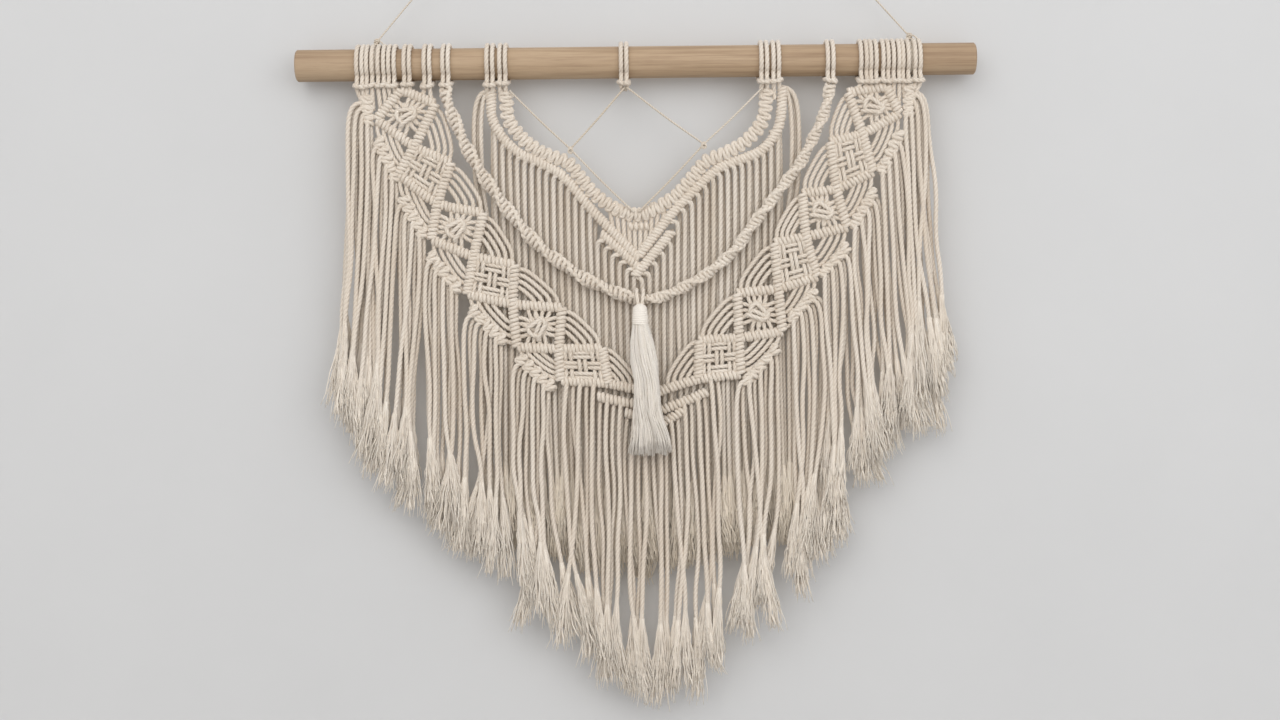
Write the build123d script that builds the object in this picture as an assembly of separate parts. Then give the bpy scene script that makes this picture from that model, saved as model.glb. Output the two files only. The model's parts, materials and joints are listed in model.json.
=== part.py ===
from build123d import *
from math import pi, radians, tan
import os

# A macrame wall hanging: knotted cotton cord on a wooden dowel, hung from one nail by a thin twine.
# Millimetres, +Z up, front towards -Y. The origin is the nail point, on top of the nail under the twine.
# Heights in the lists below are measured from the dowel's axis, downwards negative.

dowel_length = 600
dowel_radius = 14
dowel_drop = 290  # nail point down to the dowel's axis
end_chamfer = 1.2

cord_radius = 2.0
twine_radius = 0.9
net_radius = 0.9
hitch_radius = 3.6  # a row of double half hitches around a core cord
panel_roll_radius = 4.0
sennit_radius = 4.5  # square knots in a row
swag_radius = 7.0
corner_trim = 6.6  # a hitch row stops this far short of the corner it shares

inner_y = -6.5  # layers from the wall to the front
inner_roll_y = -10.0
outer_y = -13.0
net_y = -15.6
swag_y = -16.6
tassel_y = -26.8
outer_back_y = -11.1
outer_front_y = -15.3

# ---------------------------------------------------------------- helpers


def at(x, z, y=0.0):
    """A point given by its distance from the middle of the dowel, in the object's frame."""
    return Vector(x, y, z - dowel_drop)


def rod(a, b, radius):
    way = b - a
    return Solid.make_cylinder(radius, way.length, Plane(origin=a, z_dir=way))


def ball(centre, radius):
    return Pos(centre) * Sphere(radius)


def knot_row(points, radius, y):
    """Straight runs along a bent row, each cut back where the row turns so that none overlap."""
    places = [at(x, z, y) for x, z in points]
    solids = []
    for i in range(len(places) - 1):
        a, b = places[i], places[i + 1]
        way = (b - a).normalized()
        start = a + way * cut_back(places, i, radius)
        end = b - way * cut_back(places, i + 1, radius)
        solids.append(rod(start, end, radius))
    return solids


def cut_back(places, i, radius):
    if i == 0 or i == len(places) - 1:
        return 0.0
    turn = (places[i] - places[i - 1]).get_angle(places[i + 1] - places[i])
    return radius * tan(radians(turn) / 2) + 0.2


def plate(corners, inset, back_y, front_y):
    """A flat soft web between knot rows, clear of the rows around it by the inset."""
    outline = offset(Polygon(*corners, align=None), amount=-inset, kind=Kind.INTERSECTION)
    web = extrude(outline, amount=back_y - front_y, dir=(0, 0, 1))
    return Pos(0, 0, -dowel_drop) * (Plane.XZ.offset(-back_y) * web)


def height_on(points, x):
    """The height of a polyline, listed from left to right, at one x."""
    for (x0, z0), (x1, z1) in zip(points, points[1:]):
        if x <= x1:
            return z0 + (z1 - z0) * (x - x0) / (x1 - x0)
    return points[-1][1]


nodes = {}

# ---------------------------------------------------------------- dowel and hanger

dowel = Rot(0, 90, 0) * Cylinder(dowel_radius, dowel_length)
dowel = chamfer(dowel.edges().filter_by(GeomType.CIRCLE), end_chamfer)
nodes["dowel"] = [Pos(0, 0, -dowel_drop) * dowel]

loop_gap = 0.3  # the loops turn on the dowel
left_tie_x = -228.8
right_tie_x = 242.4
tie_knot_radius = 2.2


def dowel_loop(x, width, thickness):
    outer = Cylinder(dowel_radius + loop_gap + thickness, width)
    inner = Cylinder(dowel_radius + loop_gap, width)
    return Pos(x, 0, -dowel_drop) * (Rot(0, 90, 0) * (outer - inner))


tie_top = dowel_radius + loop_gap + 2 * cord_radius + tie_knot_radius + 0.1
tie_knots = {}
for side, x in (("left", left_tie_x), ("right", right_tie_x)):
    tie_knots[side] = at(x, tie_top)
    nodes[f"{side}_twine_tie"] = [
        dowel_loop(x, 2 * twine_radius, 2 * twine_radius),
        ball(tie_knots[side], tie_knot_radius),
    ]

nail_half_width = 2.5
apex = [Vector(-nail_half_width, 0, twine_radius), Vector(nail_half_width, 0, twine_radius)]
leg_gap = tie_knot_radius + 0.1
left_leg_end = tie_knots["left"] + (apex[0] - tie_knots["left"]).normalized() * leg_gap
right_leg_end = tie_knots["right"] + (apex[1] - tie_knots["right"]).normalized() * leg_gap


def tube(route, radius):
    """A cord along straight runs joined by tangent arcs as large as the runs allow."""
    bends = []
    for a, b, c in zip(route, route[1:], route[2:]):
        turn = radians((b - a).get_angle(c - b))
        bends.append(0.45 * min((b - a).length, (c - b).length) / tan(turn / 2))
    line = FilletPolyline(*route, radius=bends)
    start = Plane(origin=line @ 0, z_dir=line % 0)
    cord = sweep(start * Circle(radius), path=line)
    share = cord.volume / (pi * radius**2 * line.length)
    print("twine", round(line.length, 1), "long, bends", [round(b, 1) for b in bends])
    print("fill", round(share, 4))
    return cord


nodes["hanger_twine"] = [tube([left_leg_end, *apex, right_leg_end], twine_radius)]

# ---------------------------------------------------------------- lark's heads on the dowel

head_width = 7.4
lark_heads = {
    "outer_lark_heads": [
        -242.5, -233.8, -223.8, -214.6, -201.0, -183.4,
        200.1, 208.9, 219.5, 228.9, 237.1, 247.7,
    ],
    "inner_lark_heads": [-128.3, -117.3, -10.6, 112.8, 123.4],
    "swag_lark_heads": [-167.0, 171.0],
}
for name, places in lark_heads.items():
    nodes[name] = [dowel_loop(x, head_width, 2 * cord_radius) for x in places]

# ---------------------------------------------------------------- outer panel: two bands of diamonds

# crossings are the corners that neighbouring diamonds share, from the dowel to the middle
bands = {
    "left": {
        "crossings": [
            (-206, -24), (-195, -74), (-175, -124), (-144, -171), (-110, -213), (-70, -253), (-27, -284),
        ],
        "inner": [(-176, -37), (-163, -89), (-135, -133), (-108, -179), (-67, -217), (-32, -253)],
        "outer": [(-228, -50), (-209, -98), (-181, -156), (-150, -204), (-107, -251), (-69, -281)],
        "centres": [(-202, -48), (-184, -99), (-157, -144.5), (-127.5, -193), (-87, -234), (-49, -270)],
        "scallops": [
            ((-237, -32), (-235, -51)),
            ((-226, -70), (-213, -101)),
            ((-205, -121), (-189, -151)),
            ((-181, -171), (-160, -199)),
            ((-145, -219), (-120, -245)),
            ((-104, -262), (-78, -286)),
        ],
        "strand_edges": [
            (-246, -229.5), (-226, -208), (-205, -184), (-180, -156), (-148, -117), (-108, -76),
        ],
    },
    "right": {
        "crossings": [
            (220, -26), (198, -67), (175, -115), (148, -157), (123, -202), (88, -245), (52, -280),
        ],
        "inner": [(186, -31), (170, -74), (145, -119), (120, -162), (87, -206), (53, -247)],
        "outer": [(231, -50), (207, -101), (184, -149), (157, -192), (126, -240), (89, -277)],
        "centres": [(206, -44), (186, -91), (160, -136), (137, -181), (104, -222), (70, -265)],
        "scallops": [
            ((240, -28), (239, -49)),
            ((230, -69), (215, -99)),
            ((206, -120), (190, -147)),
            ((182, -168), (162, -189)),
            ((152, -207), (135, -228)),
            ((119, -256), (94, -283)),
        ],
        "strand_edges": [
            (248, 231.5), (229, 211), (207, 186), (183, 159), (158, 131), (118, 80),
        ],
    },
}

flower_radius = 7.5
flower_depth = 9.0
weave_side = 14.0
weave_depth = 5.0
scallop_radius = 3.0


def hitch_side(a, b):
    way = (at(*b, outer_y) - at(*a, outer_y)).normalized()
    return rod(at(*a, outer_y) + way * corner_trim, at(*b, outer_y) - way * corner_trim, hitch_radius)


def flower_knot(centre):
    return Pos(at(*centre, outer_y)) * (Rot(90, 0, 0) * Cylinder(flower_radius, flower_depth))


def basket_weave(centre):
    square = Rot(0, 45, 0) * Box(weave_side, weave_depth, weave_side)
    return Pos(at(*centre, outer_y)) * square


def diamond(band, k):
    first, last = band["crossings"][k], band["crossings"][k + 1]
    solids = []
    for corner in (band["inner"][k], band["outer"][k]):
        solids.append(hitch_side(first, corner))
        solids.append(hitch_side(corner, last))
    centre = band["centres"][k]
    solids.append(flower_knot(centre) if k % 2 == 0 else basket_weave(centre))
    return solids


web_inset = hitch_radius + 0.7
diamond_count = 6
for side, band in bands.items():
    for k in range(diamond_count):
        nodes[f"{side}_diamond_{k + 1}"] = diamond(band, k)
    wings = []
    aprons = []
    for k in range(diamond_count - 1):
        shared = band["crossings"][k + 1]
        wings.append(plate([band["inner"][k], shared, band["inner"][k + 1]], web_inset, -12.0, -16.0))
        outline = [band["outer"][k], shared, band["outer"][k + 1], *reversed(band["scallops"][k + 1])]
        aprons.append(plate(outline, web_inset, -12.0, -16.0))
    nodes[f"{side}_wings"] = wings
    nodes[f"{side}_aprons"] = aprons
    scallops = []
    for a, b in band["scallops"]:
        scallops.append(rod(at(*a, outer_y), at(*b, outer_y), scallop_radius))
    nodes[f"{side}_scallop_knots"] = scallops

bottom_rows = [
    ((-20, -287), (-2, -290)),
    ((46, -285), (20, -291)),
    ((-56, -292), (-2, -300)),
    ((74, -291), (20, -301)),
    ((48, -305), (20, -312)),
]
nodes["bottom_hitch_rows"] = [rod(at(*a, outer_y), at(*b, outer_y), hitch_radius) for a, b in bottom_rows]

# ---------------------------------------------------------------- outer fringe

hem_line = [
    (-275, -283), (-255, -330), (-220, -363), (-184, -411), (-140, -443), (-105, -474), (-78, -510),
    (-34, -545), (1, -568), (45, -564), (71, -529), (98, -511), (124, -485), (168, -429), (190, -377),
    (234, -333), (261, -302), (275, -262),
]
lean = 0.115  # the outermost strands hang this share of their distance further out
top_reach = 235  # distance from the middle at which the lean is full
swing_gap = 4.6  # free height above each fringe hinge, where the strands bend
fringe_hinges = {"upper": -110, "middle": -209, "lower": -296, "centre": -362}


def strand_tip(x):
    far = x * (1 + lean * (abs(x) / top_reach) ** 2)
    return far, height_on(hem_line, far)


def strand(x, top, y, hinge):
    """One strand as a short held stub above the hinge height and a free length below it."""
    far, tip = strand_tip(x)
    a, b = at(x, top, y), at(far, tip, y)
    fall = b - a
    stub_end = a + fall * ((top - hinge - swing_gap) / (top - tip))
    free_start = a + fall * ((top - hinge) / (top - tip))
    return rod(a, stub_end, cord_radius), rod(free_start, b, cord_radius)


def fringe_layer(edges, count, shift, y, top_at, hinge):
    pitch = (edges[1] - edges[0]) / count
    held, free = [], []
    for i in range(count):
        x = edges[0] + pitch * (i + shift)
        stub, tail = strand(x, top_at(x), y, hinge)
        held.append(stub)
        free.append(tail)
    return held, free


front_shift, back_shift = 0.3, 0.8
layers = ((front_shift, outer_front_y), (back_shift, outer_back_y))
scallop_groups = {"upper": (0, 1), "middle": (2, 3), "lower": (4, 5)}
strands_per_layer = 4
stub_clear = 5.2  # the stubs start this far under a knot row's middle

for side, band in bands.items():
    for level, members in scallop_groups.items():
        stubs, tails = [], []
        for k in members:
            row = sorted(band["scallops"][k])
            under = min(z for x, z in row)
            edges = sorted(band["strand_edges"][k])
            for shift, y in layers:
                top_at = lambda x: under - stub_clear
                held, free = fringe_layer(edges, strands_per_layer, shift, y, top_at, fringe_hinges[level])
                stubs += held
                tails += free
        nodes.setdefault(f"{side}_strand_tops", []).extend(stubs)
        nodes[f"{side}_{level}_fringe"] = tails

centre_edges = (-69, 73)
centre_tops = [(-69, -306), (10, -306), (20, -320), (48, -312), (73, -306)]
stubs, tails = [], []
for shift, y in layers:
    top_at = lambda x: height_on(centre_tops, x)
    held, free = fringe_layer(centre_edges, 12, shift, y, top_at, fringe_hinges["centre"])
    stubs += held
    tails += free
nodes["centre_strand_tops"] = stubs
nodes["centre_fringe"] = tails

# ---------------------------------------------------------------- inner panel

rolls = {
    "left_inner_roll": [
        (-127, -25), (-127, -48), (-119, -65), (-104, -80), (-83, -90), (-64, -102), (-40, -131),
        (-6, -168),
    ],
    "right_inner_roll": [
        (129, -25), (127, -52), (121, -68), (107, -82), (80, -92), (66, -100), (33, -132), (6, -166),
    ],
}
sennits = {
    "left_inner_sennit": [
        (-114, -26), (-113, -49), (-106, -61), (-96, -72), (-83, -79), (-60, -87), (-34, -118), (-16, -134),
    ],
    "right_inner_sennit": [
        (115, -26), (113, -48), (107, -61), (96, -72), (80, -80), (63, -86), (36, -116), (15, -134),
    ],
}
for name, points in rolls.items():
    nodes[name] = knot_row(points, panel_roll_radius, inner_roll_y)
for name, points in sennits.items():
    nodes[name] = knot_row(points, sennit_radius, inner_roll_y)
nodes["inner_tip_rows"] = [
    *knot_row([(-33, -154), (-7, -183)], panel_roll_radius, inner_roll_y),
    *knot_row([(29, -153), (5, -188)], panel_roll_radius, inner_roll_y),
    *knot_row([(-7, -143), (7, -143)], panel_roll_radius, inner_roll_y),
]

inner_count = 44
inner_row_gap = 4.4
inner_edge = 140
inner_hem_middle = 458
inner_hem_rise = 0.22
inner_tops = [
    (-140, -30), (-135.5, -36), (-133, -58), (-129, -64), (-119, -76), (-104, -90), (-83, -99), (-64, -111),
    (-42, -138), (-34, -164), (-5, -197), (5, -201), (34, -168), (40, -143), (66, -112), (80, -103), (107, -94),
    (120, -80), (129, -68), (133, -60), (135.5, -36), (140, -30),
]
inner_strands = []
for i in range(inner_count):
    x = -inner_edge + 2 * inner_edge * (i + 0.5) / inner_count
    hem = -inner_hem_middle + inner_hem_rise * abs(x)
    inner_strands.append(rod(at(x, height_on(inner_tops, x), inner_y), at(x, hem, inner_y), cord_radius))
    if i:
        x -= inner_edge / inner_count
        y = inner_y + inner_row_gap
        inner_strands.append(rod(at(x, height_on(inner_tops, x), y), at(x, hem, y), cord_radius))
nodes["inner_fringe"] = inner_strands

# thin cords that cross between the dowel and the inner panel, each run ending in a small tie
net_ties = {"left": (-58, -78), "right": (59, -75)}
net_runs = [
    ((-111, -26), "left"), ((-9.5, -24), "left"), ((-7, -124), "left"),
    ((-5.5, -24), "right"), ((111, -26), "right"), ((3, -124), "right"),
]
tie_radius = 2.3
net = [ball(at(*place, net_y), tie_radius) for place in net_ties.values()]
for end, tie in net_runs:
    knot = at(*net_ties[tie], net_y)
    way = (at(*end, net_y) - knot).normalized()
    net.append(rod(knot + way * (tie_radius + 0.1), at(*end, net_y), net_radius))
nodes["net_cords"] = net

# ---------------------------------------------------------------- swag and tassel

swag_points = [
    (-167, -26), (-157, -57), (-131, -106), (-87, -162), (-44, -193), (0, -211), (40, -200), (84, -169),
    (117, -126), (146, -88), (161, -57), (170, -26),
]
swag_runs = knot_row(swag_points, swag_radius, swag_y)
nodes["swag_left"] = swag_runs[:5]
nodes["swag_right"] = swag_runs[5:]

# the tassel hangs from a loop that is tied round the front of the swag's lowest point
loop_drop = 213.5
head_radius = 6.5
head_drop = loop_drop + 1 + head_radius
wrap_top, wrap_bottom = head_drop + head_radius + 0.3, head_drop + head_radius + 6
skirt_top, skirt_bottom = wrap_bottom + 4.5, 350
tassel_x = 1.0
skirt_sections = [(skirt_top, 1.5, 5.0, 4.0), (skirt_top + 14, 3.5, 9.5, 7.0), (skirt_bottom, 8.5, 17.0, 9.0)]


def skirt_section(drop, x, half_width, half_depth):
    return Pos(at(x, -drop, tassel_y)) * Ellipse(half_width, half_depth)


loop_top = at(tassel_x, -loop_drop + 16, tassel_y + 1.4)
nodes["tassel_loop"] = [rod(loop_top, at(tassel_x, -loop_drop, tassel_y), 1.5)]
nodes["tassel_head"] = [ball(at(tassel_x, -head_drop, tassel_y), head_radius)]
nodes["tassel_wrap"] = [
    rod(at(tassel_x, -wrap_top, tassel_y), at(tassel_x, -wrap_bottom, tassel_y), 6.0),
]
nodes["tassel_skirt"] = [loft([skirt_section(*s) for s in skirt_sections], ruled=True)]

# ---------------------------------------------------------------- write the nodes

os.makedirs("parts", exist_ok=True)
for name, solids in nodes.items():
    pieces = [s for piece in solids for s in piece.solids()]
    export_step(Compound(children=pieces), f"parts/{name}.step")
print(len(nodes), "nodes,", sum(len(s) for s in nodes.values()), "solids")
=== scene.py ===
import bpy
import json
import math
import numpy as np
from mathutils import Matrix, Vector

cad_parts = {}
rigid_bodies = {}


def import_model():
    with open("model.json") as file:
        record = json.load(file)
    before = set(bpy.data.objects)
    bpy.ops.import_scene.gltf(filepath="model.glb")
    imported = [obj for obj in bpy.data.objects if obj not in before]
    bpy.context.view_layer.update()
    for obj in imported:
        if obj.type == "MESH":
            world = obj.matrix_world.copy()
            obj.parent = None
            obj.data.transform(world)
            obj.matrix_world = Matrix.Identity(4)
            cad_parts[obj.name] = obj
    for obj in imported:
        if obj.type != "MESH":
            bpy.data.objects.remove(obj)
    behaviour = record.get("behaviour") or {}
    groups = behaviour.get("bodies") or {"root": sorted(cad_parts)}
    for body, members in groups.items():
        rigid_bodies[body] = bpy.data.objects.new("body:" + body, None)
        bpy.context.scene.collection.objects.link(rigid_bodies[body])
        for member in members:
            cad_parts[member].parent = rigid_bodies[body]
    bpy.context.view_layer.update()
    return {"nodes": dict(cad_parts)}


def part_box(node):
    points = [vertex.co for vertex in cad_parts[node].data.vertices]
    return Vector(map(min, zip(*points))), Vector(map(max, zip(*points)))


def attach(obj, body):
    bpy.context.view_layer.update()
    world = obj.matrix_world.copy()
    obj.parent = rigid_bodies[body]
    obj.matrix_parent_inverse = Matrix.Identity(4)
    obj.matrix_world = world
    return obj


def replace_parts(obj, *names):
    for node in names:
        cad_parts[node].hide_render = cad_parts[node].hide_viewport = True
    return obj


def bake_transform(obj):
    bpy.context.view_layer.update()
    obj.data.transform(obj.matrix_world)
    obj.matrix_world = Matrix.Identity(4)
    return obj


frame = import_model()


dowelLow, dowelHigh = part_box("dowel")
axisHeight = 1000 * (dowelLow[2] + dowelHigh[2]) / 2  # mm, the dowel's axis in the frame
dowelRadius = 1000 * (dowelHigh[2] - dowelLow[2]) / 2
mm = 0.001
rng = np.random.default_rng(11)
forward = np.array([0.0, -1.0, 0.0])

# Places on the piece are in mm: x from the middle of the dowel, y back to the wall, z from its axis.
# The camera, the stage and the lights are in metres.

layer = {"inner": -6.3, "innerRow": -10.0, "row": -13.0, "front": -15.5, "back": -11.3, "deep": -7.0,
         "net": -15.6, "swag": -16.6, "tassel": -26.8}
cord = {"radius": 2.25, "pitch": 14.0, "sides": 12, "step": 1.65, "grooveDepth": 0.18}
knotLay = 13.0  # the plies' pitch where a cord is tied tight
twine = {"radius": 0.85, "pitch": 6.0}


# The camera stands in front, at the height of the knots

view = {"lens": 50.0, "sensor": 36.0, "distance": 1.574, "aimX": 0.0009, "aimDown": 0.2636, "roll": 0.64}


def addCamera():
    camera = bpy.data.objects.new("camera", bpy.data.cameras.new("camera"))
    bpy.context.scene.collection.objects.link(camera)
    camera.data.lens = view["lens"]
    camera.data.sensor_width = view["sensor"]
    camera.data.clip_start = 0.05
    camera.location = (view["aimX"], -view["distance"], axisHeight * mm - view["aimDown"])
    camera.rotation_euler = (math.pi / 2, math.radians(view["roll"]), 0)
    bpy.context.scene.camera = camera


addCamera()
print("camera")


# Lines, and the cords and fibres swept along them


def arcLength(lines):
    steps = np.linalg.norm(np.diff(lines, axis=-2), axis=-1)
    return np.concatenate([np.zeros(steps.shape[:-1] + (1,)), np.cumsum(steps, axis=-1)], axis=-1)


def even(line, step):
    s = arcLength(line)
    count = max(4, int(round(s[-1] / step)) + 1)
    at = np.linspace(0, s[-1], count)
    return np.stack([np.interp(at, s, line[:, k]) for k in range(3)], axis=1)


def smooth(points, step=None):
    # a curve through every point
    p = np.array(points, float)
    p = np.vstack([2 * p[0] - p[1], p, 2 * p[-1] - p[-2]])
    t = np.linspace(0, 1, 9)[:-1, None]
    runs = []
    for a, b, c, d in zip(p, p[1:], p[2:], p[3:]):
        runs.append(0.5 * (2 * b + (c - a) * t + (2 * a - 5 * b + 4 * c - d) * t**2
                           + (3 * b - a - 3 * c + d) * t**3))
    return even(np.vstack([*runs, p[-2:-1]]), step or cord["step"])


def splineLine(points, step=None):
    # the soft line of a strand or the twine: a spline with the route's points as its controls
    curve = bpy.data.curves.new("route", "CURVE")
    curve.dimensions = "3D"
    curve.resolution_u = 12
    spline = curve.splines.new("NURBS")
    spline.points.add(len(points) - 1)
    for knot, p in zip(spline.points, points):
        knot.co = (*p, 1)
    spline.order_u = 3
    spline.use_endpoint_u = True
    holder = bpy.data.objects.new("route", curve)
    mesh = bpy.data.meshes.new_from_object(holder)
    line = np.array([v.co for v in mesh.vertices], float)
    bpy.data.objects.remove(holder)
    bpy.data.curves.remove(curve)
    bpy.data.meshes.remove(mesh)
    return even(line, step or cord["step"])


def framesAlong(lines):
    # tangents and two side directions that never spin, for many lines of one length at once
    tangents = np.gradient(lines, axis=1)
    tangents /= np.linalg.norm(tangents, axis=2, keepdims=True) + 1e-12
    first = tangents[:, 0]
    n = np.where(np.abs(first[:, 1:2]) < 0.8, forward, np.array([1.0, 0.0, 0.0]))
    normals = np.empty_like(lines)
    for i in range(lines.shape[1]):
        t = tangents[:, i]
        n = n - t * np.sum(n * t, axis=1, keepdims=True)
        n = n / (np.linalg.norm(n, axis=1, keepdims=True) + 1e-12)
        normals[:, i] = n
    return tangents, normals, np.cross(tangents, normals)


class Yarn:
    # gathers swept cords and fibres into one mesh with a tone, a groove mask for painted shade and a warmth
    # at each vertex

    def __init__(self):
        self.points, self.quads, self.caps = [], [], []
        self.tones, self.grooves, self.warmths = [], [], []
        self.total = 0

    def add(self, lines, radii, sides=3, plies=0, pitch=10.0, depth=0.0, tone=None, warmth=0.0):
        lines = np.asarray(lines, float)
        if lines.ndim == 2:
            lines = lines[None]
        k, m = lines.shape[:2]
        radii = np.broadcast_to(np.asarray(radii, float), (k, m))
        warmth = np.broadcast_to(np.asarray(warmth, float), (k, m))
        tone = rng.uniform(0, 1, k) if tone is None else np.broadcast_to(np.asarray(tone, float), (k,))
        winding = arcLength(lines) * (2 * math.pi / pitch) if plies else 0 * radii
        spin = rng.uniform(0, 6.28, (k, 1)) + winding
        angle = np.linspace(0, 2 * math.pi, sides, endpoint=False)
        lobe = np.abs(np.cos(plies / 2 * angle)) if plies else np.ones(sides)
        tangents, normals, sideways = framesAlong(lines)
        turn = spin[:, :, None] + angle
        reach = radii[:, :, None] * (1 - depth * (1 - lobe))
        rings = (lines[:, :, None] + normals[:, :, None] * (np.cos(turn) * reach)[..., None]
                 + sideways[:, :, None] * (np.sin(turn) * reach)[..., None])
        self.points.append(rings.reshape(-1, 3))
        self.tones.append(np.repeat(tone, m * sides))
        self.grooves.append(np.tile(1 - lobe, k * m))
        self.warmths.append(np.repeat(warmth.reshape(-1), sides))
        i = np.arange(m - 1)[:, None] * sides
        j = np.arange(sides)[None]
        after = (j + 1) % sides
        quad = np.stack([i + j, i + after, i + sides + after, i + sides + j], axis=-1).reshape(-1, 4)
        starts = self.total + np.arange(k) * m * sides
        self.quads.append((quad[None] + starts[:, None, None]).reshape(-1, 4))
        ends = np.stack([np.arange(sides)[::-1], (m - 1) * sides + np.arange(sides)])
        self.caps.append(((ends[None] + starts[:, None, None]).reshape(-1, sides)))
        self.total += k * m * sides

    def addCord(self, line, radius=None, tone=None, warmth=0.0):
        radius = cord["radius"] if radius is None else radius
        self.add(line, radius, cord["sides"], 3, cord["pitch"], cord["grooveDepth"], tone, warmth)

    def addKnotCord(self, path, radius, tone, sides=12, groove=0.22, step=1.6):
        self.add(smooth(path, step), radius, sides, 3, knotLay, groove, tone)

    def addTwine(self, line, radius=None, tone=None):
        self.add(line, radius or twine["radius"], 8, 2, twine["pitch"], 0.3, tone)

    def make(self, name, material, slot, body=None):
        points = np.concatenate(self.points)
        points[:, 2] += axisHeight
        faces = self.quads + self.caps
        loops = np.concatenate([f.reshape(-1) for f in faces])
        sizes = np.concatenate([np.full(len(f), f.shape[1]) for f in faces])
        mesh = bpy.data.meshes.new(name)
        mesh.vertices.add(len(points))
        mesh.vertices.foreach_set("co", (points * mm).astype(np.float32).reshape(-1))
        mesh.loops.add(len(loops))
        mesh.loops.foreach_set("vertex_index", loops.astype(np.int32))
        mesh.polygons.add(len(sizes))
        mesh.polygons.foreach_set("loop_start", np.concatenate([[0], np.cumsum(sizes)[:-1]]).astype(np.int32))
        mesh.polygons.foreach_set("use_smooth", np.ones(len(sizes), bool))
        for label, values in (("tone", self.tones), ("groove", self.grooves), ("warmth", self.warmths)):
            layerOf = mesh.attributes.new(label, "FLOAT", "POINT")
            layerOf.data.foreach_set("value", np.concatenate(values).astype(np.float32))
        mesh.update()
        mesh.validate()
        mesh.materials.append(material)
        piece = bpy.data.objects.new(name, mesh)
        bpy.context.scene.collection.objects.link(piece)
        if body:
            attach(piece, body)
        return piece


def pieceName(node):
    first, *others = node.split("_")
    return first + "".join(word.capitalize() for word in others)


# Cotton, twine and wood

finish = {
    "cordLight": (0.82, 0.738, 0.636, 1), "cordDark": (0.705, 0.608, 0.497, 1),
    # cordShade is painted shade for the grooves between plies, and also the dark of the fine fibre grain
    "cordShade": (0.42, 0.32, 0.23, 1), "fray": (0.97, 0.905, 0.80, 1),
    # the inner fringe's colours: a darker, warmer copy of the cord cotton, with painted warm shade for light
    # bouncing between the strands behind
    "innerLight": (0.80, 0.728, 0.635, 1), "innerDark": (0.69, 0.60, 0.492, 1),
    "innerFray": (0.82, 0.72, 0.58, 1),
    "tasselLight": (0.87, 0.81, 0.73, 1), "tasselDark": (0.78, 0.71, 0.615, 1),
    "twineLight": (0.80, 0.73, 0.63, 1), "twineDark": (0.66, 0.57, 0.45, 1),
    "woodLight": (0.53, 0.39, 0.255, 1), "woodMid": (0.40, 0.275, 0.168, 1),
    "woodDark": (0.20, 0.118, 0.062, 1),
}


def newGroup(name, inputs, outputs):
    group = bpy.data.node_groups.new(name, "ShaderNodeTree")
    for label, kind, value in inputs:
        socket = group.interface.new_socket(label, in_out="INPUT", socket_type=kind)
        socket.default_value = value
    for label, kind in outputs:
        group.interface.new_socket(label, in_out="OUTPUT", socket_type=kind)
    return group, group.nodes.new("NodeGroupInput"), group.nodes.new("NodeGroupOutput")


def setSockets(node, **values):
    for label, value in values.items():
        node.inputs[label].default_value = value


def addMix(tree, factor, first, second):
    mix = tree.nodes.new("ShaderNodeMix")
    mix.data_type = "RGBA"
    for label, value in (("Factor", factor), ("A", first), ("B", second)):
        socket = mix.inputs[label]
        if isinstance(value, bpy.types.NodeSocket):
            tree.links.new(value, socket)
        else:
            socket.default_value = value
    return mix.outputs["Result"]


def addMath(tree, operation, first, second=0.0):
    node = tree.nodes.new("ShaderNodeMath")
    node.operation = operation
    for socket, value in zip(node.inputs, (first, second)):
        if isinstance(value, bpy.types.NodeSocket):
            tree.links.new(value, socket)
        else:
            socket.default_value = value
    return node.outputs[0]


def addNoise(tree, scale, detail=3.0, stretch=(1, 1, 1), roughness=0.55):
    place = tree.nodes.new("ShaderNodeTexCoord")
    mapping = tree.nodes.new("ShaderNodeMapping")
    mapping.inputs["Scale"].default_value = stretch
    noise = tree.nodes.new("ShaderNodeTexNoise")
    setSockets(noise, Scale=scale, Detail=detail, Roughness=roughness)
    tree.links.new(place.outputs["Object"], mapping.inputs["Vector"])
    tree.links.new(mapping.outputs["Vector"], noise.inputs["Vector"])
    return noise.outputs["Fac"]


def addAttribute(tree, label):
    node = tree.nodes.new("ShaderNodeAttribute")
    node.attribute_name = label
    return node.outputs["Fac"]


def spread(tree, value, low, high):
    node = tree.nodes.new("ShaderNodeMapRange")
    setSockets(node, **{"From Min": low, "From Max": high})
    tree.links.new(value, node.inputs["Value"])
    return node.outputs["Result"]


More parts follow.
